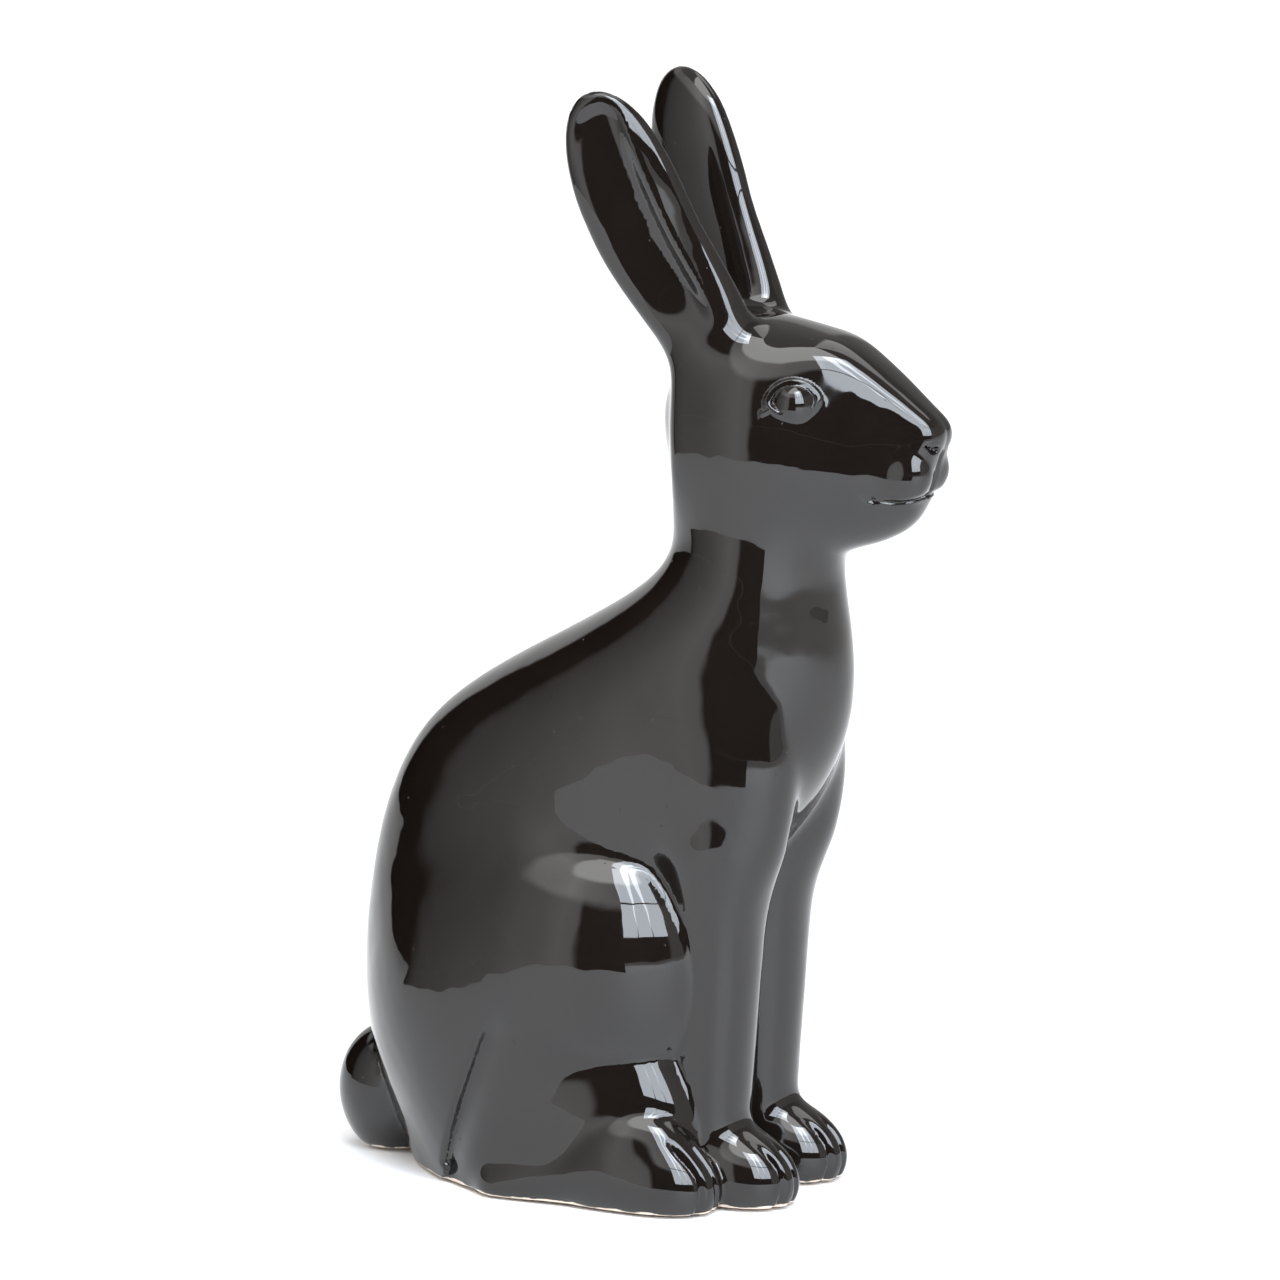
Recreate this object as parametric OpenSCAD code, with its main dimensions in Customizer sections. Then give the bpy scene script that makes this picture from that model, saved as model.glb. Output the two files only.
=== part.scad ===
// Seated hare figurine, glazed slip-cast ceramic, in millimetres.
// Everything is drawn as [side, forward, up]: +X is the hare's left and +Y its front.
// `stand` then turns the front to -Y and lifts the ceramic onto its pads.
// Rounded forms are distances to a surface, joined with soft_min. `reach` walks in from
// outside until that distance is zero, and `skin` joins rings of such points.

/* [Stand] */
// Thickness of the felt pads
pad_thickness = 1; // [0.5:0.1:2]
// Diameter of the felt pads
pad_diameter = 9; // [6:0.5:12]
// Thickness of the slab that closes the hollow
plate_thickness = 5; // [4:0.5:8]
// Play between the slab and the rebate round it
plate_play = 0.2; // [0.1:0.05:0.5]
// Diameter of the vent hole in the slab
vent_diameter = 10; // [6:1:14]
// Forward position of the vent hole
vent_forward = -24; // [-40:1:0]

/* [Casting] */
// Wall of the slip casting
wall = 5; // [3.5:0.5:6]
// Width of the rebate that takes the slab
rebate = 1.2; // [0.8:0.1:2]
// Radius that rounds the foot line off
foot_round = 1.4; // [0.5:0.1:2]

/* [Ears] */
// Half width of an ear at its widest
ear_half = 15.4; // [12:0.1:18]
// How far up the ear its widest place is
ear_widest = 42; // [35:1:50]
// Length of an ear above its root
ear_length = 82; // [75:1:90]
// Half thickness of an ear
ear_thick = 6; // [4.5:0.5:8]
// Depth of the hollow in an ear
ear_hollow = 3.4; // [0:0.1:4]
// How far the opening turns from the side to the front, in degrees
ear_turn = 11; // [0:1:30]

/* [Mesh] */
// Points round a ring of the body
body_points = 52; // [40:4:72]
// Points round a ring of an ear or a leg
limb_points = 32; // [16:4:40]

/* [Hidden] */
glaze = [0.09, 0.075, 0.07];
bisque = [0.86, 0.80, 0.70];
felt = [0.30, 0.30, 0.31];
overlap = 1;

// pads, front row then rear row: side, forward
pads = [[13, 2], [17, -50]];

// trunk and neck, one station every step from one step below the ground:
// back, front, half width
station_step = 20;
stations = [[-65.5, 18, 32], [-70, 19, 33], [-78, 21, 34], [-83.5, 24, 34.5],
    [-85.5, 26, 35], [-84.7, 30, 35], [-81.2, 43, 34.5], [-74.2, 58.5, 34.5],
    [-58.5, 66, 33.5], [-22, 66, 29.5], [13, 62, 24], [14, 61.5, 23], [14, 58, 23],
    [14, 58, 23]];
crown = 212;

// eggs are [centre, radii, tilt], where tilt lifts the front; limbs are
// [start, end, start radius, end radius]; those off the middle plane come in pairs
skull = [[0, 39, 225], [25, 29, 29.5], -15];
cheek = [[11, 52, 212], [14, 27, 19], -22];
bridge = [[0, 66, 231.5], [0, 89, 224], 17.5, 6.5];
muzzle = [[0, 78, 213], [14, 14, 14], 0];
chin = [[0, 80, 204.5], [9, 9.5, 8], 0];
lip = [[5.2, 85.5, 213.5], [6.8, 9.2, 8.2], 0];
nose = [[0, 90.5, 224.2], [6.4, 4.8, 4.6], 0];
nostril = [[4.8, 94, 221], [1.8, 2.6, 1.2], 0];
rump = [[8, -34, 50], [38, 43, 52], 0];
shank = [[25, -10, 18], [19.5, 42, 40], 0];
thigh = [[10, -9, 67], [38, 46, 45], 0];
heel = [[37.5, -26, 2], [35, 10, 9], 7, 11];
instep = [[33.5, 17, 10], [13, 23, 17.5], -4];
tail_egg = [[0, -80, 17], [14, 16.5, 20], 0];
elbow = [[16, 33, 100], [16.5, 30, 22], 14.5, 11.5];
shoulder = [[18, 32, 122], [14, 24, 34], 0];
paw = [[17, 38, 8], [13, 17, 14], 0];

// toes: side at the root, side at the tip, forward at the tip
hind_toes = [[25.2, 24, 38.5], [31, 30.8, 40], [36.8, 37.2, 38.6], [41.4, 42.2, 34.5]];
fore_toes = [[9.5, 9, 49.5], [14.2, 14, 52.5], [19.4, 19.8, 52.5], [24.2, 25, 49]];

// eye: where it sits, its forward and outward directions, ball radius and depth
eye_at = [20, 57, 235];
eye_forward = [-0.27, 0.96, 0.14];
eye_out = [0.9, 0.25, 0.34];
eye_radius = 7.4;
eye_depth = 5.2;
// the hollow that holds it, its height above the face, and the rolled lid round it
socket = [7.4, 5.4, 3];
socket_rise = 0.8;
lid = [7, 5.2, 1.1];
lid_rise = 0.2;
lid_roll = 1.1;

// ear: middle of the root and the way the ear points
ear_root = [13, 28.5, 246];
ear_lean = [16.7, -29.7, 77];

// centre that the head rings swing round, and how far their own centres are from it
throat = [0, 72, 180];
swing_radius = 36;
// where the rings close: end of the face, end of the hollow in it, top of the shoulder
face_tip = [0, 94.6, 217];
hollow_tip = [0, 80, 215];
shoulder_tip = [18, 32, 155];

// ---- distances
function soft_min(a, b, k) = let (h = max(k - abs(a - b), 0) / k) min(a, b) - h * h * h * k / 6;
function soft_max(a, b, k) = -soft_min(-a, -b, k);
function ease(a, b, x) = let (t = min(max((x - a) / (b - a), 0), 1)) t * t * (3 - 2 * t);
function egg(p, e) = let (d = p - e[0], c = cos(e[2]), s = sin(e[2]), r = e[1],
    q = [d.x / r.x, (d.y * c + d.z * s) / r.y, (d.z * c - d.y * s) / r.z],
    a = norm(q))
    a * (a - 1) / max(norm([q.x / r.x, q.y / r.y, q.z / r.z]), 1e-6);
function limb(p, l) = let (d = l[1] - l[0], t = min(max((p - l[0]) * d / (d * d), 0), 1))
    norm(p - l[0] - d * t) - l[2] - (l[3] - l[2]) * t;
// the stations joined by a cubic spline
function station(z) = let (t = z / station_step + 1, i = floor(t), f = t - i,
    s = [for (k = [-1:2]) stations[min(max(i + k, 0), len(stations) - 1)]])
    (s[0] * (1 - f) ^ 3 + s[1] * (3 * f ^ 3 - 6 * f ^ 2 + 4)
    + s[2] * (1 + 3 * f + 3 * f ^ 2 - 3 * f ^ 3) + s[3] * f ^ 3) / 6;
function trunk(p) = let (s = station(p.z), r = [s[2], (s[1] - s[0]) / 2],
    q = [p.x / r.x, (p.y - (s[0] + s[1]) / 2) / r.y], a = norm(q))
    soft_max(a * (a - 1) / max(norm([q.x / r.x, q.y / r.y]), 1e-6), p.z - crown, 20);
function head(p, q) = soft_min(
    soft_min(soft_min(egg(p, skull), egg(q, cheek), 14),
        soft_min(limb(p, bridge), egg(p, muzzle), 10), 14),
    egg(p, chin), 6);
function haunch(q, d) = soft_min(
    soft_min(d, soft_min(egg(q, rump), egg(q, shank), 14), 18),
    egg(q, thigh), 16 - 13 * ease(-25, 8, q.y));
function feet(q) = soft_min(limb(q, heel), egg(q, instep), 8);
function body(p) = let (q = [norm([p.x, 0.3]), p.y, p.z])
    p.z > 150 ? soft_min(trunk(p), head(p, q), 14)
        : soft_min(haunch(q, trunk(p)), feet(q), 8 - 5.5 * ease(-28, 4, p.y));
function foreleg(p) = soft_min(soft_min(limb(p, elbow), egg(p, shoulder), 18), egg(p, paw), 8);

// ---- rings: [centre, direction of the ring's second axis, inset]
function reach(leg, c, e, r, inset, n = 18) = let (p = c + r * e,
    d = (leg ? foreleg(p) : body(p)) + inset)
    n == 0 || abs(d) < 0.01 ? r : reach(leg, c, e, max(r - d, 0.3), inset, n - 1);
function ring(leg, s, n, far) = [for (j = [0:n - 1])
    let (e = cos(j * 360 / n) * [1, 0, 0] + sin(j * 360 / n) * s[1])
    s[0] + e * reach(leg, s[0], e, far, s[2])];
function level(z, inset) = let (s = station(z)) [[0, (s[0] + s[1]) / 2, z], [0, 1, 0], inset];
function swing(a, inset) = [throat + swing_radius * [0, -cos(a), sin(a)],
    [0, cos(a), -sin(a)], inset];
function upright(y, inset) = [[0, y, throat.z + swing_radius], [0, 0, -1], inset];
module skin(rings, tip) {
    n = len(rings[0]);
    m = len(rings);
    polyhedron(concat([for (r = rings) each r], [tip]), concat(
        [[for (j = [0:n - 1]) j]],
        [for (i = [0:m - 2], j = [0:n - 1]) let (a = i * n + j, b = i * n + (j + 1) % n)
            each [[b, a, a + n], [b, a + n, b + n]]],
        [for (j = [0:n - 1]) [(m - 1) * n + (j + 1) % n, (m - 1) * n + j, m * n]]));
}

// the body's rings climb the trunk, swing round the throat and run along the muzzle
body_outside = [for (s = concat(
    [level(0, foot_round), level(foot_round * 0.4, foot_round * 0.3)],
    [for (z = [2, 5, each [9:4:33], each [38:8:174]]) level(z, 0)],
    [for (a = [0:7.5:90]) swing(a, 0)],
    [for (y = [76:3:88]) upright(y, 0)],
    [for (y = [90:1.2:93.6]) upright(y, 0)])) ring(false, s, body_points, 110)];
body_inside = [for (s = concat(
    [for (z = [plate_thickness, each [16:14:170]]) level(z, wall)],
    [for (a = [8:16:88]) swing(a, wall)], [upright(77, wall)])) ring(false, s, 32, 110)];
slab_outline = ring(false, level(foot_round, wall - rebate), 56, 110);

// ---- modelled details, drawn once for each side
module egg_form(e, facets) {
    translate(e[0]) rotate([e[2], 0, 0]) scale(e[1]) sphere(1, $fn = facets);
}
module pair() {
    children();
    mirror([1, 0, 0]) children();
}
module toes(list, root, height, root_radius, tip_radius) {
    for (t = list) hull() {
        translate([t[0], root, height]) sphere(root_radius, $fn = 14);
        translate([t[1], t[2], tip_radius + 1.6]) sphere(tip_radius, $fn = 14);
    }
}
module above_ground() {
    intersection() {
        children();
        translate([-80, -100, 0]) cube([160, 200, 120]);
    }
}
module at_eye() {
    n = eye_out / norm(eye_out);
    a0 = eye_forward - n * (eye_forward * n);
    a = a0 / norm(a0);
    b = cross(n, a);
    multmatrix([[a.x, b.x, n.x, eye_at.x], [a.y, b.y, n.y, eye_at.y],
        [a.z, b.z, n.z, eye_at.z], [0, 0, 0, 1]]) children();
}
module eye_socket() {
    at_eye() translate([0, 0, socket_rise]) scale(socket) sphere(1, $fn = 32);
}
module eye_ball() {
    at_eye() {
        translate([0, 0, -eye_depth]) sphere(eye_radius, $fn = 32);
        translate([0, 0, lid_rise]) scale(lid) rotate_extrude($fn = 32)
            translate([1, 0]) scale([1 / 6, 1]) circle(lid_roll, $fn = 8);
    }
}
module body_form() {
    skin(body_outside, face_tip);
    pair() above_ground() toes(hind_toes, 24, 15, 6, 5);
}
module ear_form() {
    up = ear_lean / norm(ear_lean);
    out0 = [cos(ear_turn), sin(ear_turn), 0];
    out1 = out0 - up * (out0 * up);
    out = out1 / norm(out1);
    front = cross(up, out);
    taper = ear_length - ear_widest;
    rings = [for (s = [-16, -9, -3, each [3:6:51], 57, 62, 67, 71, 74.5, 77.5, 79.6, 81])
        let (low = max(ear_widest - s, 0),
            tip = pow(max(s - ear_widest, 0) / taper, 1.3),
            fill = sqrt(max(1 - tip * tip, 0.002)),
            half = (ear_half - 0.0014 * low ^ 2) * fill,
            middle = 1.2 - 4.4 * ease(0, ear_widest, s),
            thick = (ear_thick + 0.0016 * low ^ 2) * fill,
            open = ease(4, 22, s) * (1 - ease(62, 78, s)))
        [for (j = [0:limb_points - 1])
            let (t = sin(j * 360 / limb_points), n = cos(j * 360 / limb_points),
                dip = open * ease(0, 0.6, n) * ear_hollow * (exp(-((t + 0.37) / 0.3) ^ 2)
                    + 0.55 * exp(-((t - 0.28) / 0.15) ^ 2)))
            ear_root + up * s + front * (middle + half * t) + out * (thick * n - dip)]];
    skin(rings, ear_root + up * ear_length - front * 2);
}
module foreleg_form() {
    // the ring centres follow the leg: height, side, forward
    centres = [[0, 17, 38], [22, 16.5, 33], [40, 16.5, 31], [100, 16, 33], [150, 18, 32]];
    side = [for (c = centres) [c[0], c[1]]];
    forward = [for (c = centres) [c[0], c[2]]];
    rings = [for (s = concat([[0, foot_round], [foot_round * 0.4, foot_round * 0.3]],
        [for (z = [2, 5, 9, 13, 17, 21, 26, 34, 44, each [56:14:98], each [108:10:148]]) [z, 0]]))
        ring(true, [[lookup(s[0], side), lookup(s[0], forward), s[0]], [0, 1, 0], s[1]],
            limb_points, 60)];
    skin(rings, shoulder_tip);
    above_ground() toes(fore_toes, 38, 13, 5.2, 4.7);
}

// ---- sub-parts
module body_casting() {
    color(glaze) difference() {
        union() {
            difference() {
                union() {
                    body_form();
                    pair() egg_form(lip, 28);
                    egg_form(nose, 24);
                }
                pair() eye_socket();
                pair() egg_form(nostril, 12);
            }
            pair() eye_ball();
        }
        skin(body_inside, hollow_tip);
        translate([0, 0, -overlap]) linear_extrude(plate_thickness + overlap)
            polygon([for (p = slab_outline) [p.x, p.y]]);
    }
}
module ear() {
    color(glaze) difference() {
        ear_form();
        body_form();
    }
}
module tail() {
    color(glaze) difference() {
        above_ground() egg_form(tail_egg, 40);
        body_form();
    }
}
module foreleg_part() {
    color(glaze) difference() {
        foreleg_form();
        body_form();
    }
}
module base_plate() {
    color(bisque) difference() {
        linear_extrude(plate_thickness) offset(delta = -plate_play)
            polygon([for (p = slab_outline) [p.x, p.y]]);
        translate([0, vent_forward, -overlap])
            cylinder(d = vent_diameter, h = plate_thickness + 2 * overlap, $fn = 96);
    }
}
module felt_pad(row) {
    color(felt) translate([pads[row].x, pads[row].y, -pad_thickness])
        cylinder(d = pad_diameter, h = pad_thickness, $fn = 96);
}
// left is the side as drawn, right is its mirror image
module stand(right = false) {
    translate([0, 0, pad_thickness]) scale([right ? -1 : 1, -1, 1]) children();
}

stand() body_casting();
stand() ear();  // ear_left
stand(true) ear();  // ear_right
stand() tail();
stand() foreleg_part();  // foreleg_left
stand(true) foreleg_part();  // foreleg_right
stand() base_plate();
stand() felt_pad(0);  // felt_pad_front_left
stand(true) felt_pad(0);  // felt_pad_front_right
stand() felt_pad(1);  // felt_pad_rear_left
stand(true) felt_pad(1);  // felt_pad_rear_right
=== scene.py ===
# Seated hare figurine in black-glazed ceramic.
# Lengths are millimetres until a mesh is made, and points are (side, forward, up):
# side is the hare's left, +X, and forward is -Y.
import math

import bmesh
import bpy
import numpy as np
from mathutils import Matrix, Vector


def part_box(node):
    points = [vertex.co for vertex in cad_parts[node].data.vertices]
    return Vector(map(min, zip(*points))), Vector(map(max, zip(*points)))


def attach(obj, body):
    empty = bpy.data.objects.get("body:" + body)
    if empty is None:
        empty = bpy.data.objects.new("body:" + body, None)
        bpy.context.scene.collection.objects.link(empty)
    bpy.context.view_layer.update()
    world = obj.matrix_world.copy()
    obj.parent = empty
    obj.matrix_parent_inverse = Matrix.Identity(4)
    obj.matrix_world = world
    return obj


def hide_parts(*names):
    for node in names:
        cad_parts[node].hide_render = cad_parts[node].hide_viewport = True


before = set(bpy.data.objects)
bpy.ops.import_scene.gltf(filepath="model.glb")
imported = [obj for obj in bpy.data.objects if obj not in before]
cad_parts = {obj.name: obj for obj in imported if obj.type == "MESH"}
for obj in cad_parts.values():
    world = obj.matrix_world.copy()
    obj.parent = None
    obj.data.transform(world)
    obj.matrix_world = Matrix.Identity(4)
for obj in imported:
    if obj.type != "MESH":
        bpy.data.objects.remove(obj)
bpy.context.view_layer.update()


# ---------------------------------------------------------------- Modelled figure
# The clay model that the moulds are taken from, still one figure. Its form is
# written as a distance to the surface, so that every muscle runs into the next
# one as modelled clay does, and a net of quads is then laid over it.

# trunk and neck, a station every 20 mm from 20 mm below the foot:
# back, front, half width
station_step = 20.0
stations = np.array([
    (-65.5, 18, 32), (-70, 19, 33), (-78, 21, 34), (-83.5, 24, 34.5), (-85.5, 26, 35),
    (-84.7, 30, 35), (-81.2, 43, 34.5), (-74.2, 58.5, 34.5), (-58.5, 66, 33.5), (-22, 66, 29.5),
    (13, 62, 24), (14, 61.5, 23), (14, 58, 23), (14, 58, 23)])
crown = 212.0


def length(*parts):
    return np.sqrt(sum(part * part for part in parts))


def soft_min(a, b, k):
    h = np.maximum(k - np.abs(a - b), 0) / k
    return np.minimum(a, b) - h * h * h * k / 6


def soft_max(a, b, k):
    return -soft_min(-a, -b, k)


def ease(low, high, value):
    t = np.clip((value - low) / (high - low), 0, 1)
    return t * t * (3 - 2 * t)


def swell(value, middle, width):
    return np.exp(-((value - middle) / width) ** 2)


def egg(p, centre, radii, tilt=0, turn=0):
    """Distance to an egg. tilt lifts its front, turn swings its front outwards."""
    side, forward, up = (p[i] - centre[i] for i in range(3))
    if turn:
        c, s = math.cos(math.radians(turn)), math.sin(math.radians(turn))
        side, forward = side * c - forward * s, side * s + forward * c
    if tilt:
        c, s = math.cos(math.radians(tilt)), math.sin(math.radians(tilt))
        forward, up = forward * c + up * s, up * c - forward * s
    near = (side / radii[0], forward / radii[1], up / radii[2])
    reach = length(*near)
    slope = length(*(near[i] / radii[i] for i in range(3)))
    return reach * (reach - 1) / np.maximum(slope, 1e-9)


def limb(p, start, end, start_radius, end_radius):
    along = [end[i] - start[i] for i in range(3)]
    gap = [p[i] - start[i] for i in range(3)]
    t = sum(gap[i] * along[i] for i in range(3)) / sum(a * a for a in along)
    t = np.clip(t, 0, 1)
    reach = length(*(gap[i] - along[i] * t for i in range(3)))
    return reach - (start_radius + (end_radius - start_radius) * t)


def roll(p, points):
    """Distance to a roll of clay along points of (side, forward, up, radius)."""
    parts = [limb(p, a[:3], b[:3], a[3], b[3]) for a, b in zip(points, points[1:])]
    return np.minimum.reduce(parts)


def lofted(across, through, along, table, first, step):
    """Distance to a form of oval sections. Rows of the table are low edge, high edge and half width."""
    t = np.clip((along - first) / step, 0, len(table) - 1.001)
    i = np.floor(t).astype(int)
    f = t - i
    weights = ((1 - f) ** 3, 3 * f ** 3 - 6 * f ** 2 + 4, 1 + 3 * f + 3 * f ** 2 - 3 * f ** 3, f ** 3)
    rows = [table[np.clip(i + k, 0, len(table) - 1)] for k in (-1, 0, 1, 2)]
    blend = sum(w[..., None] * row for w, row in zip(weights, rows)) / 6
    low, high, half = blend[..., 0], blend[..., 1], blend[..., 2]
    depth = (high - low) / 2
    near = (across / half, (through - (high + low) / 2) / depth)
    reach = length(*near)
    slope = length(near[0] / half, near[1] / depth)
    return reach * (reach - 1) / np.maximum(slope, 1e-9)


def trunk(p):
    return soft_max(lofted(p[0], p[1], p[2], stations, -station_step, station_step), p[2] - crown, 20)


# face, a station every 8 mm forward: jaw, brow and half width
face_step = 8.0
face_start = 30.0
face_stations = np.array([
    (196, 266, 25), (194, 266, 25.5), (191.5, 266, 25.2), (190, 265, 23.2), (189.5, 262, 20.4),
    (190.3, 258, 17), (193, 252, 13.7), (197.5, 245, 10.6), (203, 239, 8), (209, 234, 6)])


skull = ((0, 39, 225), (25, 29, 29.5), -15)
lip = ((5.2, 84.5, 213.5), (6.5, 9, 8.2), 0, 12)
nose = ((2.2, 90.5, 224.2), (4.4, 4.8, 4.6))


def head(q):
    """The face, cut off along the bridge of the nose and at both ends, on an egg of a skull."""
    jowl = q[0] * (1 + 0.006 * (q[2] - 218))
    face = lofted(jowl, q[2], q[1], face_stations, face_start, face_step)
    past_brow = q[1] - 66
    bridge = 254 - 0.43 * (np.sqrt(past_brow ** 2 + 64) + past_brow) - q[0] ** 2 / 50
    face = soft_max(face, 0.8 * (q[2] - bridge), 7)
    face = soft_max(face, np.maximum(20 - q[1], q[1] - 95 - 0.3 * (q[2] - 222)), 8)
    face = soft_min(egg(q, *skull), face, 10)
    face = soft_min(face, egg(q, *lip), 3)
    return soft_min(face, egg(q, *nose), 3.5)


rump_egg = ((8, -34, 50), (38, 43, 52))
shank_egg = ((25, -10, 18), (19.5, 42, 40))
thigh_egg = ((10, -9, 67), (38, 46, 45))


def rump(q):
    return soft_min(egg(q, *rump_egg), egg(q, *shank_egg), 14)


groove_depth = 1.5
groove_width = 0.9


def toe_grooves(q, sides, start, height):
    """Depth of the grooves between toes, pressed in from so far forward and so far down."""
    pressed = sum(swell(q[0], side, groove_width) for side in sides)
    return groove_depth * pressed * ease(start, start + 8, q[1]) * (1 - ease(height - 3, height + 3, q[2]))


heel = ((37.5, -26, 2), (35, 10, 9), 7, 11)
instep = ((33.5, 12, 10), (13, 23, 20), -4)
hind_toes = ((34, 22, 6.5), (13, 18.5, 14), -6)


def hind_foot(q):
    foot = soft_min(limb(q, *heel), egg(q, *instep), 8)
    foot = soft_min(foot, egg(q, *hind_toes), 5)
    return foot + toe_grooves(q, (28.2, 34, 39.6), 21, 19)


# the fold between rump and lower leg, which runs back and down to the heel
crease_top = (0, -24, 56)
crease_foot = (0, -45, 6)
crease_depth = 2.4


def ahead_of_crease(forward, up):
    """Above zero in front of the fold's line, and below zero behind it."""
    rise = crease_top[2] - crease_foot[2]
    run = crease_top[1] - crease_foot[1]
    return (forward - crease_foot[1]) * rise - (up - crease_foot[2]) * run


def hock_crease(q):
    beside = (np.zeros_like(q[0]), q[1], q[2])
    reach = limb(beside, crease_top, crease_foot, 0, 0)
    width = 1.5 + 4.5 * ease(-1, 1, ahead_of_crease(q[1], q[2]))
    return crease_depth * swell(reach, 0, width) * ease(20, 30, q[0]) * (1 - ease(46, 58, q[2]))


lower_leg = ((16, 33, 100), (16.5, 30, 22), 14.5, 11.5)
shoulder = ((18, 32, 122), (14, 24, 34))
paw_egg = ((17, 37, 8), (13, 17, 14))
fore_toes = ((17, 43, 6), (12.5, 14.5, 12))


def foreleg(q):
    leg = soft_min(limb(q, *lower_leg), egg(q, *shoulder), 18)
    paw = soft_min(egg(q, *paw_egg), egg(q, *fore_toes), 5)
    return soft_min(leg, paw + toe_grooves(q, (11.6, 16.9, 22.2), 42, 16), 8)


def within(d, q, centre, radius, shape):
    """Applies a detail only close to where it sits."""
    close = length(*(q[i] - centre[i] for i in range(3))) < radius
    if not close.any():
        return d
    d = d.copy()
    d[close] = shape(d[close], tuple(part[close] for part in q))
    return d


nostril = ((5, 94.5, 221), (1.6, 2.6, 1.1))
nose_wing = ((7.4, 91, 222.5, 0.5), (5.6, 94, 221, 0.9), (3.2, 96.2, 219.5, 0.9), (0.6, 96.6, 218.2, 0.6))


def mouth_and_nose(d, q):
    """The line of the mouth with its corners, the split of the upper lip, and the nostrils."""
    side, forward, up = q
    lip_line = 206.0 + 0.028 * (forward - 84) ** 2
    d = d + 0.6 * swell(up, lip_line, 0.55) * ease(78, 82, forward)
    d = d + 0.8 * swell(length((forward - 77.5) / 2, up - lip_line + 0.3), 0, 0.8)
    split = ease(86, 91, forward) * ease(205.5, 208, up) * (1 - ease(218.5, 221, up))
    d = d + 1.5 * swell(side, 0, 0.9) * split
    d = soft_max(d, -roll(q, nose_wing), 0.8)
    return soft_max(d, -egg(q, *nostril), 0.8)


# the eye: where it sits, and its own directions forward, up and out
eye_at = (20.0, 57.0, 235.0)
eye_out = Vector((0.9, 0.25, 0.34)).normalized()
eye_forward = Vector((-0.27, 0.96, 0.0))
eye_forward = (eye_forward - eye_out * eye_forward.dot(eye_out)).normalized()
eye_up = eye_out.cross(eye_forward)
eye_tip = math.radians(8)
ball_radius = 7.4
ball_depth = 4.6
eye_half = 6.3
upper_rise = 4.3
lower_drop = 3.4


def lid_arc(a, b, rise):
    """Distance outwards from the arc of a lid that rises so far between the corners of the eye."""
    radius = (eye_half ** 2 + rise ** 2) / (2 * abs(rise))
    return length(a, b - rise + math.copysign(radius, rise)) - radius


def eye(d, q):
    """A ball in an almond opening, under a flat upper lid and over a rolled lower one."""
    gap = [q[i] - eye_at[i] for i in range(3)]
    a, b, out = (sum(gap[i] * way[i] for i in range(3)) for way in (eye_forward, eye_up, eye_out))
    c, s = math.cos(eye_tip), math.sin(eye_tip)
    a, b = a * c + b * s, b * c - a * s + 0.4
    edge = soft_max(lid_arc(a, b, upper_rise), lid_arc(a, b, -lower_drop), 1.2)
    corner = roll((a, b, out * 0), ((-6.2, -1.4, 0, 0), (-10.2, -3.0, 0, 0)))
    upper = ease(-1.5, 1.5, b)
    lower_lid = 0.9 * swell(edge, 0.9, 1.0) * (1 - upper)
    lower_lid = np.maximum(lower_lid, 0.7 * swell(corner, 0, 0.9) * (1 - ease(8.5, 10.5, -a)))
    upper_lid = 0.7 * upper * (1 - ease(1.5, 2.6, edge))
    d = soft_max(d - lower_lid - upper_lid, -edge, 0.5)
    return soft_min(d, length(a, b, out + ball_depth) - ball_radius, 0.3)


# ears: middle of the root, the way the ear points, and which way its hollow faces
ear_root = (13.0, 28.5, 246.0)
ear_up = Vector((16.7, -29.7, 77.0)).normalized()
ear_turn = math.radians(11)
ear_out = Vector((math.cos(ear_turn), math.sin(ear_turn), 0))
ear_out = (ear_out - ear_up * ear_out.dot(ear_up)).normalized()
ear_front = ear_up.cross(ear_out)
ear_widest = 42.0
ear_half = 15.4
ear_thick = 6.2
ear_hollow = 4.4
ear_taper = 40.0


def ear(q):
    """A flat oval that tapers in an arc to its tip, hollowed on its open side."""
    gap = [q[i] - ear_root[i] for i in range(3)]
    out, front, up = (sum(gap[i] * way[i] for i in range(3)) for way in (ear_out, ear_front, ear_up))
    low = np.clip(ear_widest - up, 0, 60)
    half = ear_half - 0.0014 * low ** 2
    thick = ear_thick - 0.6 * np.tanh(out / 2) + 0.0016 * low ** 2
    tip = np.clip((up - ear_widest) / ear_taper, 0, None)
    across = (front - 1.2 + 4.4 * ease(0, 42, up) - 0.8 * ease(50, 80, up)) / half
    near = (across, out / thick, tip ** 1.3)
    reach = length(*near)
    slope = length(near[0] / half, near[1] / thick, tip ** 1.6 * 1.3 / ear_taper)
    d = reach * (reach - 1) / np.maximum(slope, 1e-6)
    open_side = ease(0, 2.5, out) * ease(4, 22, up) * (1 - ease(0.72, 0.95, length(near[2], 0.74 * across)))
    d = d + open_side * ear_hollow * ease(-0.98, 0.12, across) * (1 - ease(0.14, 0.52, across))
    return np.maximum(d, -up - 10) * 0.8


# the hollow below: wall of the casting, ledge that the slab fits in, and the slab
wall = 5.0
ledge = 1.2
slab_height = 5.0
foot_edge = 1.5
seen_depth = 26.0


def chamber(p, q):
    """The open underside: a recess that holds the slab, and the hollow as far up as the vent shows it."""
    level = np.full_like(p[2], foot_edge)
    outline = trunk_and_feet((p[0], p[1], level), (q[0], q[1], level))
    recess = np.maximum(outline + wall - ledge, p[2] - slab_height)
    hollow = soft_max(trunk_and_feet(p, q) + wall, p[2] - seen_depth, 10)
    return np.minimum(recess, np.maximum(hollow, outline + wall))


def unevenness(p):
    """Clay and glaze are never true: a few hundredths of a millimetre of waviness."""
    side, forward, up = p
    slow = np.sin(0.19 * side + 0.13 * up + 1.3) * np.sin(0.17 * forward - 0.09 * up)
    quick = np.sin(0.53 * up + 0.31 * forward) * np.sin(0.47 * side - 0.37 * forward + 0.7)
    return 0.05 * slow + 0.012 * quick


tail_egg = ((0, -80, 17), (14, 16.5, 20))


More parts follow.
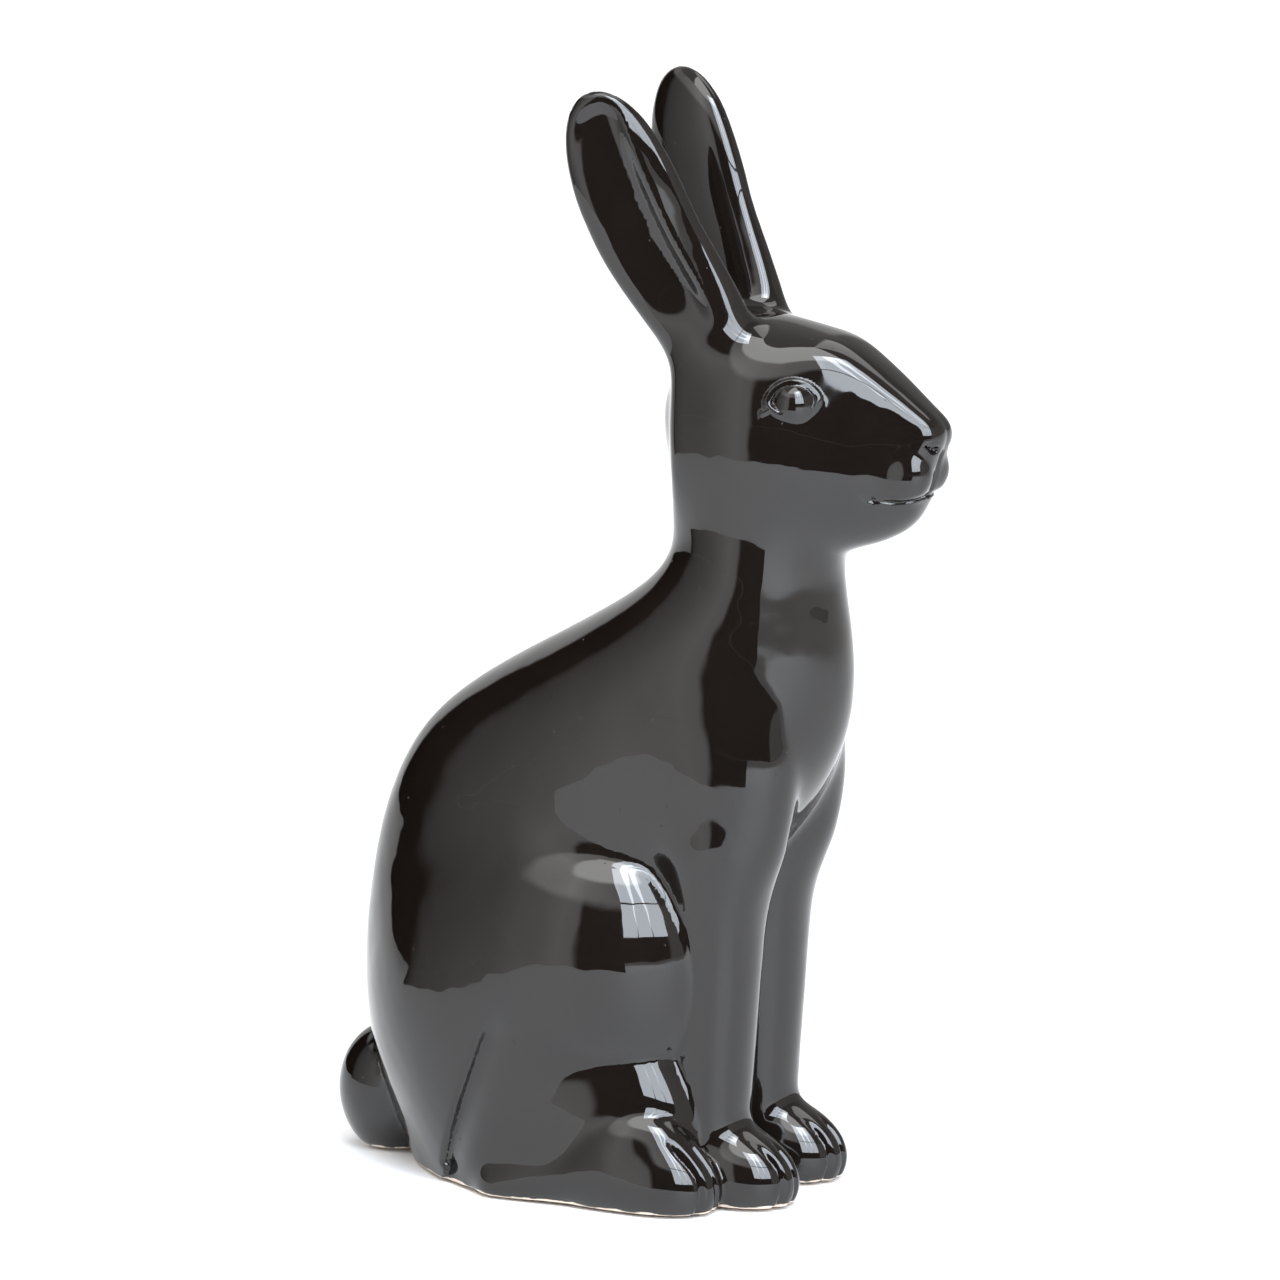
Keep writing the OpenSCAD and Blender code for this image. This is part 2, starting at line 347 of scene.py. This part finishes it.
def tail(p):
    return egg(p, *tail_egg)


def trunk_and_feet(p, q):
    d = soft_min(trunk(p), head(q), 14)
    d = soft_min(d, rump(q), 18)
    d = soft_min(d, egg(q, *thigh_egg), 16 - 13 * ease(-25, 8, p[1]))
    d = d + hock_crease(q)
    return soft_min(d, hind_foot(q), 8 - 5.5 * ease(-28, 4, p[1]))


def hare(side, forward, up):
    p = (side, forward, up)
    q = (np.sqrt(side * side + 0.01), forward, up)
    d = soft_min(trunk_and_feet(p, q), foreleg(q), 3.5 + 8.5 * ease(88, 115, up))
    d = within(d, q, (0, 88, 214), 22, mouth_and_nose)
    d = within(d, q, eye_at, 16, eye)
    d = soft_min(d, ear(q), 8)
    d = soft_min(d, tail(p), 2)
    d = soft_max(d, -up, foot_edge)
    return soft_max(d, -chamber(p, q), 0.8) + unevenness(p)


def lines_of(form, points):
    """The direction in which a form's distance grows, at each point."""
    step = 0.04
    out = np.empty_like(points)
    for axis in range(3):
        ahead, behind = points.copy(), points.copy()
        ahead[:, axis] += step
        behind[:, axis] -= step
        out[:, axis] = (form(*ahead.T) - form(*behind.T)) / (2 * step)
    return out


def settle(form, points, rounds=3):
    """Moves points onto a form's surface."""
    for _ in range(rounds):
        way = lines_of(form, points)
        far = form(*points.T) / np.maximum((way * way).sum(1), 1e-6)
        move = way * far[:, None]
        points = points - move * np.minimum(1, 1 / np.maximum(length(*move.T), 1e-9))[:, None]
    return points


def cast(form, low, high, step):
    """Lays a net of quads over a form inside a box: one corner in each cell that the surface crosses."""
    marks = [np.arange(low[i], high[i] + step, step) for i in range(3)]
    value = form(*np.meshgrid(*marks, indexing="ij"))
    inside = value < 0
    cells = np.array(value.shape) - 1
    total, count = np.zeros((*cells, 3)), np.zeros(cells)

    def corner(c):
        return tuple(slice(c[i], c[i] + cells[i]) for i in range(3))

    for a in np.ndindex(2, 2, 2):
        for axis in range(3):
            if a[axis]:
                continue
            b = tuple(a[i] + (i == axis) for i in range(3))
            va, vb = value[corner(a)], value[corner(b)]
            crossed = (va < 0) != (vb < 0)
            share = np.where(crossed, va / np.where(crossed, va - vb, 1), 0)
            for i in range(3):
                total[..., i] += np.where(crossed, a[i] + share * (i == axis), 0)
            count += crossed
    used = count > 0
    number = np.full(cells, -1)
    number[used] = np.arange(used.sum())
    points = (np.argwhere(used) + total[used] / count[used][:, None]) * step + np.array(low)
    quads = []
    for axis in range(3):
        e1, e2 = (axis + 1) % 3, (axis + 2) % 3
        near, far = [slice(1, -1)] * 3, [slice(1, -1)] * 3
        near[axis], far[axis] = slice(0, -1), slice(1, None)
        here, there = inside[tuple(near)], inside[tuple(far)]
        for turned, crossing in ((False, here & ~there), (True, ~here & there)):
            cell = np.argwhere(crossing)
            cell[:, e1] += 1
            cell[:, e2] += 1
            ring = []
            for o1, o2 in ((1, 1), (0, 1), (0, 0), (1, 0)):
                c = cell.copy()
                c[:, e1] -= o1
                c[:, e2] -= o2
                ring.append(number[tuple(c.T)])
            ring = np.stack(ring, 1)
            quads.append(ring[:, ::-1] if turned else ring)
    return points, np.concatenate(quads)


def skin_of(form, low, high, step):
    """The net as an editable mesh, settled on the form."""
    points, quads = cast(form, low, high, step)
    points = settle(form, points)
    skin = bmesh.new()
    corners = [skin.verts.new(point) for point in points]
    for quad in quads:
        skin.faces.new([corners[i] for i in quad])
    return skin


def places(skin):
    return np.array([v.co for v in skin.verts])


def refine(skin, form, where):
    """Halves the net's mesh where a test on its points says that there is detail."""
    points = places(skin)
    fine = where(*points.T)
    for v, chosen in zip(skin.verts, fine):
        v.tag = bool(chosen)
    edges = [e for e in skin.edges if e.verts[0].tag and e.verts[1].tag]
    bmesh.ops.subdivide_edges(skin, edges=edges, cuts=1, use_grid_fill=True)
    points = settle(form, places(skin), 4)
    for v, point in zip(skin.verts, points):
        v.co = point


def divide(skin, seam):
    """Cuts the net along the line where a seam test changes sign."""
    value = seam(*places(skin).T)
    value[np.abs(value) < 1e-3] = 1e-3
    skin.verts.index_update()
    crossing = [e for e in skin.edges if value[e.verts[0].index] * value[e.verts[1].index] < 0]
    faces = {f for e in crossing for f in e.link_faces}
    bmesh.ops.triangulate(skin, faces=list(faces))
    crossing = [e for e in skin.edges if value[e.verts[0].index] * value[e.verts[1].index] < 0]
    added = []
    for edge in crossing:
        a, b = edge.verts
        share = value[a.index] / (value[a.index] - value[b.index])
        added.append(bmesh.utils.edge_split(edge, a, share)[1])
    bmesh.ops.connect_verts(skin, verts=added)
    skin.verts.index_update()


def ear_seam(side, forward, up):
    p, q = (side, forward, up), (np.abs(side), forward, up)
    return ear(q) - soft_min(trunk(p), head(q), 14)


def tail_seam(side, forward, up):
    p, q = (side, forward, up), (np.abs(side), forward, up)
    return tail(p) - trunk_and_feet(p, q)


def foreleg_seam(side, forward, up):
    p, q = (side, forward, up), (np.abs(side), forward, up)
    return foreleg(q) - trunk_and_feet(p, q)


# corners of the box that the net is cast in, and the size of its meshes
low, high = (-52, -101, -4), (52, 101, 326)
net_step = 2.0
skin = skin_of(hare, low, high, net_step)


def detailed(side, forward, up):
    hock = (np.abs(ahead_of_crease(forward, up)) < 6 * 54) & (up < 62) & (np.abs(side) > 20)
    feet = (up < 34) & (forward > -40)
    foot_line = up < 5
    face = up > 186
    return feet | foot_line | face | hock


def finely_detailed(side, forward, up):
    mouth = length(side, forward - 90, up - 214) < 18
    eyes = length(np.abs(side) - eye_at[0], forward - eye_at[1], up - eye_at[2]) < 13
    toes = (up < 19) & (up > 1) & (forward > 25)
    return mouth | eyes | toes


refine(skin, hare, detailed)
refine(skin, hare, finely_detailed)
for seam in (ear_seam, tail_seam, foreleg_seam):
    divide(skin, seam)
points = places(skin)
normals = lines_of(hare, points)
normals /= length(*normals.T)[:, None]
faces = [[v.index for v in f.verts] for f in skin.faces]
middles = np.array([f.calc_center_median() for f in skin.faces])
skin.free()

# which piece each face belongs to
own = np.full(len(faces), "body_casting", dtype=object)
left = middles[:, 0] > 0
own[(ear_seam(*middles.T) < 0) & left] = "ear_left"
own[(ear_seam(*middles.T) < 0) & ~left] = "ear_right"
own[tail_seam(*middles.T) < 0] = "tail"
own[(foreleg_seam(*middles.T) < 0) & left] = "foreleg_left"
own[(foreleg_seam(*middles.T) < 0) & ~left] = "foreleg_right"
foot_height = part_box("body_casting")[0][2]


def in_frame(point):
    """Millimetres as (side, forward, up) to metres in the frame, with the pads under the foot."""
    return (point[0] / 1000, -point[1] / 1000, point[2] / 1000 + foot_height)


def open_edges(chosen):
    """The loose edges of some faces, each in the direction that its face runs."""
    runs = set()
    for f in chosen:
        for a, b in zip(faces[f], faces[f][1:] + faces[f][:1]):
            runs.add((a, b))
    return [(a, b) for a, b in runs if (b, a) not in runs]


def piece_from_skin(name, hubs):
    """Makes a piece of its share of the skin, closed where it was stuck on by a fan to a hub inside."""
    chosen = np.flatnonzero(own == name)
    used = sorted({i for f in chosen for i in faces[f]})
    renumber = {old: new for new, old in enumerate(used)}
    corners = [in_frame(points[i]) for i in used] + [in_frame(hub) for hub in hubs]
    shell = [[renumber[i] for i in faces[f]][::-1] for f in chosen]

    def hub_of(i):
        return len(used) + int(np.argmin([length(*(points[i] - np.array(hub))) for hub in hubs]))

    caps = []
    for a, b in open_edges(chosen):
        cap = [renumber[a], renumber[b], hub_of(b)]
        caps.append(cap if hub_of(a) == hub_of(b) else cap + [hub_of(a)])
    mesh = bpy.data.meshes.new(name + "_skin")
    mesh.from_pydata(corners, [], shell + caps)
    mesh.polygons.foreach_set("use_smooth", [True] * len(shell) + [False] * len(caps))
    directions = []
    for f, polygon in zip(shell, mesh.polygons):
        for i in f:
            n = normals[used[i]]
            directions.append((n[0], -n[1], n[2]))
    for polygon in list(mesh.polygons)[len(shell):]:
        directions += [tuple(polygon.normal)] * len(polygon.vertices)
    mesh.normals_split_custom_set(directions)
    piece = bpy.data.objects.new(name + "_glazed", mesh)
    bpy.context.scene.collection.objects.link(piece)
    return piece


# ---------------------------------------------------------------- Body casting
# The hare's body, head and hind feet: cream earthenware, slip-cast hollow in one
# mould, open underneath, then dipped in black glaze and fired. Its foot is wiped
# clean before the firing, so a thin line of bare clay shows round it.

# where the ears, the tail and the forelegs are luted on, the walls meet at these points
ear_hub = [(13, 30, 243)]
tail_hub = [(0, -76, 17)]
foreleg_hubs = [(17, 27, height) for height in (6, 20, 40, 60, 80, 100)]


def right_side(hubs):
    return [(-side, forward, up) for side, forward, up in hubs]


def new_material(name, roughness):
    material = bpy.data.materials.new(name)
    material.use_nodes = True
    nodes, links = material.node_tree.nodes, material.node_tree.links
    surface = nodes["Principled BSDF"]
    surface.inputs["Roughness"].default_value = roughness
    place = nodes.new("ShaderNodeTexCoord").outputs["Object"]
    return material, nodes, links, surface, place


def noise(nodes, links, place, size, detail=2.0):
    """Noise whose features are about size metres across."""
    texture = nodes.new("ShaderNodeTexNoise")
    texture.inputs["Scale"].default_value = 1 / size
    texture.inputs["Detail"].default_value = detail
    links.new(place, texture.inputs["Vector"])
    return texture.outputs["Fac"]


def remap(nodes, links, value, from_low, from_high, to_low, to_high):
    node = nodes.new("ShaderNodeMapRange")
    node.interpolation_type = "SMOOTHSTEP"
    for socket, number in zip(node.inputs[1:5], (from_low, from_high, to_low, to_high)):
        socket.default_value = number
    links.new(value, node.inputs["Value"])
    return node.outputs["Result"]


def blend_colours(nodes, links, share, first, second):
    node = nodes.new("ShaderNodeMix")
    node.data_type = "RGBA"
    links.new(share, node.inputs["Factor"])
    for socket, colour in ((node.inputs[6], first), (node.inputs[7], second)):
        if isinstance(colour, tuple):
            socket.default_value = (*colour, 1)
        else:
            links.new(colour, socket)
    return node.outputs[2]


def compute(nodes, links, operation, first, second):
    node = nodes.new("ShaderNodeMath")
    node.operation = operation
    for socket, value in zip(node.inputs, (first, second)):
        if isinstance(value, (int, float)):
            socket.default_value = value
        else:
            links.new(value, socket)
    return node.outputs[0]


def bump(nodes, links, height, distance, under=None):
    node = nodes.new("ShaderNodeBump")
    node.inputs["Distance"].default_value = distance
    links.new(height, node.inputs["Height"])
    if under is not None:
        links.new(under, node.inputs["Normal"])
    return node.outputs["Normal"]


def black_glaze():
    """Poured black glaze: a deep warm black glass that lies a little unevenly, with pinholes,
    and wiped off the foot, where a line of the cream clay shows."""
    material, nodes, links, surface, place = new_material("black_glaze", 0.05)
    cloud = noise(nodes, links, place, 0.03)
    glass = blend_colours(nodes, links, cloud, (0.0035, 0.0026, 0.0022), (0.0075, 0.0052, 0.0040))
    height = nodes.new("ShaderNodeSeparateXYZ")
    links.new(place, height.inputs[0])
    ragged = noise(nodes, links, place, 0.006, 3)
    ragged = remap(nodes, links, ragged, 0.3, 0.7, -0.0004, 0.0005)
    line = compute(nodes, links, "SUBTRACT", height.outputs["Z"], ragged)
    bare = remap(nodes, links, line, foot_height + 0.0006, foot_height + 0.0009, 1, 0)
    speckle = noise(nodes, links, place, 0.0007, 3)
    clay = blend_colours(nodes, links, speckle, (0.62, 0.50, 0.40), (0.80, 0.70, 0.60))
    links.new(blend_colours(nodes, links, bare, glass, clay), surface.inputs["Base Color"])
    sheen = remap(nodes, links, noise(nodes, links, place, 0.012), 0.3, 0.7, 0.02, 0.05)
    links.new(compute(nodes, links, "MAXIMUM", sheen, compute(nodes, links, "MULTIPLY", bare, 0.85)),
              surface.inputs["Roughness"])
    slow = noise(nodes, links, place, 0.022, 1)
    quick = noise(nodes, links, place, 0.008, 1)
    holes = nodes.new("ShaderNodeTexVoronoi")
    holes.inputs["Scale"].default_value = 180
    links.new(place, holes.inputs["Vector"])
    holes = remap(nodes, links, holes.outputs["Distance"], 0.02, 0.05, 0, 1)
    waves = bump(nodes, links, slow, 0.0004)
    waves = bump(nodes, links, quick, 0.00006, waves)
    links.new(bump(nodes, links, holes, 0.0001, waves), surface.inputs["Normal"])
    surface.inputs["IOR"].default_value = 1.52
    return material


glaze = black_glaze()


def glazed_piece(name, hubs):
    piece = piece_from_skin(name, hubs)
    piece.data.materials.append(glaze)
    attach(piece, "root")
    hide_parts(name)


both_sides = ear_hub + foreleg_hubs
glazed_piece("body_casting", both_sides + right_side(both_sides) + tail_hub)


# ---------------------------------------------------------------- Ears
# Two long ears, pressed in their own moulds with a shallow hollow in front, solid
# clay. Each is luted to the head with slip, and the seam is modelled away.
glazed_piece("ear_left", ear_hub)
glazed_piece("ear_right", right_side(ear_hub))


# ---------------------------------------------------------------- Tail
# A round scut of solid clay, rolled by hand, flattened where it lies on the rump
# and stuck there with slip before the glazing.
glazed_piece("tail", tail_hub)


# ---------------------------------------------------------------- Forelegs
# Two straight forelegs with toes, pressed solid in a mould. Each is luted along
# the shoulder and the chest with slip, and stands on the table by its paw.
glazed_piece("foreleg_left", foreleg_hubs)
glazed_piece("foreleg_right", right_side(foreleg_hubs))


# ---------------------------------------------------------------- Base plate
# A slab of the same clay, rolled out and cut to the outline of the foot, fired
# bare. It closes the hollow, sits in a ledge and has a vent hole in the middle.
def bisque_clay():
    """Fired cream clay without glaze: matt, a little sandy, with iron specks and roller marks."""
    material, nodes, links, surface, place = new_material("bisque", 0.85)
    cloud = noise(nodes, links, place, 0.02, 3)
    clay = blend_colours(nodes, links, cloud, (0.60, 0.49, 0.38), (0.74, 0.64, 0.52))
    specks = remap(nodes, links, noise(nodes, links, place, 0.0012, 2), 0.70, 0.76, 0, 0.7)
    clay = blend_colours(nodes, links, specks, clay, (0.25, 0.15, 0.09))
    links.new(clay, surface.inputs["Base Color"])
    dryness = remap(nodes, links, noise(nodes, links, place, 0.008), 0.3, 0.7, 0.78, 0.95)
    links.new(dryness, surface.inputs["Roughness"])
    stretched = nodes.new("ShaderNodeMapping")
    stretched.inputs["Scale"].default_value = (1, 0.06, 1)
    links.new(place, stretched.inputs["Vector"])
    rolled = noise(nodes, links, stretched.outputs["Vector"], 0.0025, 2)
    marks = bump(nodes, links, rolled, 0.0002)
    sand = bump(nodes, links, noise(nodes, links, place, 0.0006, 3), 0.00008, marks)
    links.new(sand, surface.inputs["Normal"])
    return material


base_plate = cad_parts["base_plate"]
bisque = bisque_clay()
if not base_plate.material_slots:
    base_plate.data.materials.append(bisque)
for plate_slot in base_plate.material_slots:
    plate_slot.material = bisque


# ---------------------------------------------------------------- Felt pads
# Four round pads punched from grey wool felt, glued under the base plate so that
# the foot does not scratch the shelf. Loose fibres stand out of their cut edge.
def felt_wool():
    """Grey wool felt: mixed light and dark fibres, quite without shine."""
    material, nodes, links, surface, place = new_material("felt", 0.95)
    strands = noise(nodes, links, place, 0.0006, 4)
    shade = remap(nodes, links, strands, 0.35, 0.65, 0, 1)
    wool = blend_colours(nodes, links, shade, (0.045, 0.045, 0.048), (0.13, 0.13, 0.135))
    links.new(wool, surface.inputs["Base Color"])
    fluff = remap(nodes, links, noise(nodes, links, place, 0.003), 0.3, 0.7, 0.88, 1)
    links.new(fluff, surface.inputs["Roughness"])
    links.new(bump(nodes, links, strands, 0.00025), surface.inputs["Normal"])
    surface.inputs["Sheen Weight"].default_value = 0.3
    return material


def punched_pad(wool):
    """Nodes that cut a pad and set short fibres round its edge."""
    tree = bpy.data.node_groups.new("punched_pad", "GeometryNodeTree")
    tree.is_modifier = True
    sockets = (("Geometry", "NodeSocketGeometry", None), ("Diameter", "NodeSocketFloat", 0.009),
               ("Thickness", "NodeSocketFloat", 0.001), ("Fibre Length", "NodeSocketFloat", 0.0004),
               ("Fibre Width", "NodeSocketFloat", 0.00004), ("Fibres per m2", "NodeSocketFloat", 9e6),
               ("Seed", "NodeSocketInt", 0))
    for title, kind, value in sockets:
        socket = tree.interface.new_socket(title, in_out="INPUT", socket_type=kind)
        if value is not None:
            socket.default_value = value
    tree.interface.new_socket("Geometry", in_out="OUTPUT", socket_type="NodeSocketGeometry")
    nodes, links = tree.nodes, tree.links
    given = nodes.new("NodeGroupInput").outputs
    radius = compute(nodes, links, "MULTIPLY", given["Diameter"], 0.5)
    disc = nodes.new("GeometryNodeMeshCylinder")
    disc.inputs["Vertices"].default_value = 64
    links.new(radius, disc.inputs["Radius"])
    links.new(given["Thickness"], disc.inputs["Depth"])
    spots = nodes.new("GeometryNodeDistributePointsOnFaces")
    links.new(disc.outputs["Mesh"], spots.inputs["Mesh"])
    links.new(disc.outputs["Side"], spots.inputs["Selection"])
    links.new(given["Fibres per m2"], spots.inputs["Density"])
    links.new(given["Seed"], spots.inputs["Seed"])
    fibre = nodes.new("GeometryNodeMeshCone")
    fibre.inputs["Vertices"].default_value = 3
    links.new(given["Fibre Width"], fibre.inputs["Radius Bottom"])
    links.new(given["Fibre Length"], fibre.inputs["Depth"])
    stray = nodes.new("FunctionNodeRandomValue")
    stray.data_type = "FLOAT_VECTOR"
    stray.inputs["Min"].default_value = (-0.9, -0.9, 0)
    stray.inputs["Max"].default_value = (0.9, 0.9, 0.5)
    links.new(given["Seed"], stray.inputs["Seed"])
    lean = nodes.new("ShaderNodeVectorMath")
    links.new(spots.outputs["Normal"], lean.inputs[0])
    links.new(stray.outputs["Value"], lean.inputs[1])
    turn = nodes.new("FunctionNodeAlignRotationToVector")
    turn.axis = "Z"
    links.new(lean.outputs["Vector"], turn.inputs["Vector"])
    stand = nodes.new("GeometryNodeInstanceOnPoints")
    links.new(spots.outputs["Points"], stand.inputs["Points"])
    links.new(fibre.outputs["Mesh"], stand.inputs["Instance"])
    links.new(turn.outputs["Rotation"], stand.inputs["Rotation"])
    together = nodes.new("GeometryNodeJoinGeometry")
    links.new(disc.outputs["Mesh"], together.inputs["Geometry"])
    links.new(stand.outputs["Instances"], together.inputs["Geometry"])
    real = nodes.new("GeometryNodeRealizeInstances")
    links.new(together.outputs["Geometry"], real.inputs["Geometry"])
    finish = nodes.new("GeometryNodeSetMaterial")
    finish.inputs["Material"].default_value = wool
    links.new(real.outputs["Geometry"], finish.inputs["Geometry"])
    links.new(finish.outputs["Geometry"], nodes.new("NodeGroupOutput").inputs["Geometry"])
    return tree


def felt_pad(name, tree, seed):
    """Runs the nodes on an empty mesh and puts the pad where the frame has it."""
    (left, front, bottom), (right, back, top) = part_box(name)
    host = bpy.data.objects.new(name + "_host", bpy.data.meshes.new(name + "_host"))
    bpy.context.scene.collection.objects.link(host)
    cutter = host.modifiers.new("punch", "NODES")
    cutter.node_group = tree
    values = {"Diameter": right - left, "Thickness": top - bottom, "Seed": seed}
    for item in tree.interface.items_tree:
        if item.in_out == "INPUT" and item.name in values:
            cutter[item.identifier] = values[item.name]
    evaluated = host.evaluated_get(bpy.context.evaluated_depsgraph_get())
    mesh = bpy.data.meshes.new_from_object(evaluated)
    host.modifiers.remove(cutter)
    bpy.data.objects.remove(host)
    mesh.transform(Matrix.Translation(((left + right) / 2, (front + back) / 2, (bottom + top) / 2)))
    pad = bpy.data.objects.new(name + "_punched", mesh)
    bpy.context.scene.collection.objects.link(pad)
    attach(pad, "root")
    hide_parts(name)


pad_nodes = punched_pad(felt_wool())
for seed, corner in enumerate(("front_left", "front_right", "rear_left", "rear_right")):
    felt_pad("felt_pad_" + corner, pad_nodes, seed)


# ---------------------------------------------------------------- Floor
# A sheet of white paper that runs far out on all sides. It is part of the studio,
# not of the figurine.
floor_mesh = bpy.data.meshes.new("floor")
floor_mesh.from_pydata([(-30, -30, 0), (30, -30, 0), (30, 30, 0), (-30, 30, 0)], [], [(0, 1, 2, 3)])
floor = bpy.data.objects.new("floor", floor_mesh)
bpy.context.scene.collection.objects.link(floor)
paper = bpy.data.materials.new("paper")
paper.use_nodes = True
paper.node_tree.nodes["Principled BSDF"].inputs["Base Color"].default_value = (0.9, 0.9, 0.9, 1)
floor_mesh.materials.append(paper)


def direction(azimuth, elevation):
    """A unit vector. Azimuth 0 is in front of the hare and grows towards its left."""
    a, e = math.radians(azimuth), math.radians(elevation)
    return Vector((math.sin(a) * math.cos(e), -math.cos(a) * math.cos(e), math.sin(e)))


def look_at(thing, place, aim):
    turn = (aim - place).to_track_quat("-Z", "Y").to_matrix().to_4x4()
    thing.matrix_world = Matrix.Translation(place) @ turn


# ---------------------------------------------------------------- Camera
# A long lens on a stand a little above the hare, off its right side and somewhat
# towards its face, level enough that the upright lines stay upright.
view_azimuth = -65
camera_data = bpy.data.cameras.new("camera")
camera_data.lens = 273.7
camera_data.sensor_width = 36
camera_data.shift_y = -0.0195
camera_data.clip_end = 100
camera = bpy.data.objects.new("camera", camera_data)
bpy.context.scene.collection.objects.link(camera)
place = direction(view_azimuth, 0) * 2.75
place.z = 0.701
look_at(camera, place, Vector((0, 0, 0.166)))
bpy.context.scene.camera = camera


# ---------------------------------------------------------------- Lights
# A tent of white cloth all round the table, with a window of six soft boxes in
# front of it. The glaze mirrors both, and the tent's darker gap as a black band.
box_distance = 2.5
box_width = 0.49
box_height = 1.15
box_radiance = 10.5
cool = (0.84, 0.91, 1.0)


def softbox(name, azimuth, elevation):
    light = bpy.data.lights.new(name, "AREA")
    light.shape = "RECTANGLE"
    light.size = box_width
    light.size_y = box_height
    light.energy = box_radiance * math.pi * box_width * box_height
    light.color = cool
    box = bpy.data.objects.new(name, light)
    bpy.context.scene.collection.objects.link(box)
    aim = Vector((0, 0, 0.16))
    look_at(box, aim + direction(azimuth, elevation) * box_distance, aim)
    box.visible_camera = False


for azimuth in (-57, -45, -33):
    for elevation in (25, 52):
        softbox(f"key_{-azimuth}_{elevation}", azimuth, elevation)


def round_ramp(nodes, links, azimuth, stops):
    """Brightness round the tent. Stops are (azimuth in degrees, brightness)."""
    ramp = nodes.new("ShaderNodeValToRGB")
    links.new(azimuth, ramp.inputs["Fac"])
    elements = ramp.color_ramp.elements
    while len(elements) > 1:
        elements.remove(elements[-1])
    elements[0].position = (stops[0][0] + 180) / 360
    for degrees, _ in stops[1:]:
        elements.new((degrees + 180) / 360)
    for element, (_, value) in zip(elements, stops):
        element.color = (value / tent_brightest,) * 3 + (1,)
    return ramp.outputs["Color"]


def azimuth_share(nodes, links, way):
    """Azimuth of a direction, from 0 behind the hare, by its right, front and left, to 1."""
    split = nodes.new("ShaderNodeSeparateXYZ")
    links.new(way, split.inputs[0])
    forward = compute(nodes, links, "MULTIPLY", split.outputs["Y"], -1)
    azimuth = compute(nodes, links, "ARCTAN2", split.outputs["X"], forward)
    return compute(nodes, links, "ADD", compute(nodes, links, "DIVIDE", azimuth, math.tau), 0.5)


tent_brightest = 8.0
# brightness round the tent by azimuth: below, from 40 degrees up, and from 56 degrees up
low_tent = (
    (-180, 0), (-168, 0), (-160, 0.4), (-130, 0.9), (-105, 1.6), (-95, 1.4), (-92, 0.05),
    (-28, 0.05), (-26, 0.75), (60, 0.4), (100, 0.4), (104, 1.0), (150, 1.0), (154, 0), (180, 0))
high_tent = (
    (-180, 1.4), (-150, 1.4), (-105, 3), (-92, 2.2), (-64, 1.5), (-62, 0.05), (-28, 0.05),
    (-26, 0.3), (60, 0.3), (100, 0.5), (150, 1.0), (180, 1.4))
top_tent = (
    (-180, 0.6), (-122, 0.6), (-118, 5.5), (-32, 5.5), (-28, 0.4), (18, 0.4), (22, 3), (98, 3),
    (102, 0.6), (180, 0.6))


def tent():
    """The white cloth round the table, darker where it opens, and plain white to the eye."""
    world = bpy.data.worlds.new("tent")
    world.use_nodes = True
    nodes, links = world.node_tree.nodes, world.node_tree.links
    way = nodes.new("ShaderNodeTexCoord").outputs["Generated"]
    azimuth = azimuth_share(nodes, links, way)
    upward = nodes.new("ShaderNodeSeparateXYZ")
    links.new(way, upward.inputs[0])
    z = upward.outputs["Z"]
    low, high, top = (round_ramp(nodes, links, azimuth, stops) for stops in (low_tent, high_tent, top_tent))
    rising = remap(nodes, links, z, math.sin(math.radians(34)), math.sin(math.radians(40)), 0, 1)
    tilted = remap(nodes, links, z, math.sin(math.radians(52)), math.sin(math.radians(56)), 0, 1)
    cloth = blend_colours(nodes, links, rising, low, high)
    cloth = blend_colours(nodes, links, tilted, cloth, top)
    seen = nodes.new("ShaderNodeBackground")
    cloth_light = nodes["Background"]
    cloth_light.inputs["Strength"].default_value = tent_brightest
    links.new(cloth, cloth_light.inputs["Color"])
    seen.inputs["Color"].default_value = (1, 1, 1, 1)
    choice = nodes.new("ShaderNodeMixShader")
    links.new(nodes.new("ShaderNodeLightPath").outputs["Is Camera Ray"], choice.inputs[0])
    links.new(cloth_light.outputs[0], choice.inputs[1])
    links.new(seen.outputs[0], choice.inputs[2])
    links.new(choice.outputs[0], nodes["World Output"].inputs["Surface"])
    return world


bpy.context.scene.world = tent()

# the foot of the tent beyond the hare's right side, which the glaze reflects from the table's edge on
foot_sector = range(-168, -60)
foot_near = 0.7
foot_far = 25.0
foot_height_above = 0.002
foot_corners = []
for degrees in foot_sector:
    for reach in (foot_near, foot_far):
        corner = direction(degrees, 0) * reach
        foot_corners.append((corner.x, corner.y, foot_height_above))
foot_faces = [(i, i + 1, i + 3, i + 2) for i in range(0, len(foot_corners) - 2, 2)]
tent_foot_mesh = bpy.data.meshes.new("tent_foot")
tent_foot_mesh.from_pydata(foot_corners, [], foot_faces)
tent_foot = bpy.data.objects.new("tent_foot", tent_foot_mesh)
bpy.context.scene.collection.objects.link(tent_foot)
foot_cloth = bpy.data.materials.new("tent_foot_cloth")
foot_cloth.use_nodes = True
foot_nodes, foot_links = foot_cloth.node_tree.nodes, foot_cloth.node_tree.links
foot_nodes.remove(foot_nodes["Principled BSDF"])
foot_glow = foot_nodes.new("ShaderNodeEmission")
foot_glow.inputs["Strength"].default_value = tent_brightest
foot_place = foot_nodes.new("ShaderNodeTexCoord").outputs["Object"]
foot_azimuth = azimuth_share(foot_nodes, foot_links, foot_place)
foot_links.new(round_ramp(foot_nodes, foot_links, foot_azimuth, low_tent), foot_glow.inputs["Color"])
foot_links.new(foot_glow.outputs[0], foot_nodes["Material Output"].inputs["Surface"])
tent_foot_mesh.materials.append(foot_cloth)
tent_foot.visible_camera = False
tent_foot.visible_diffuse = False
tent_foot.visible_shadow = False
bpy.context.scene.view_settings.view_transform = "Standard"
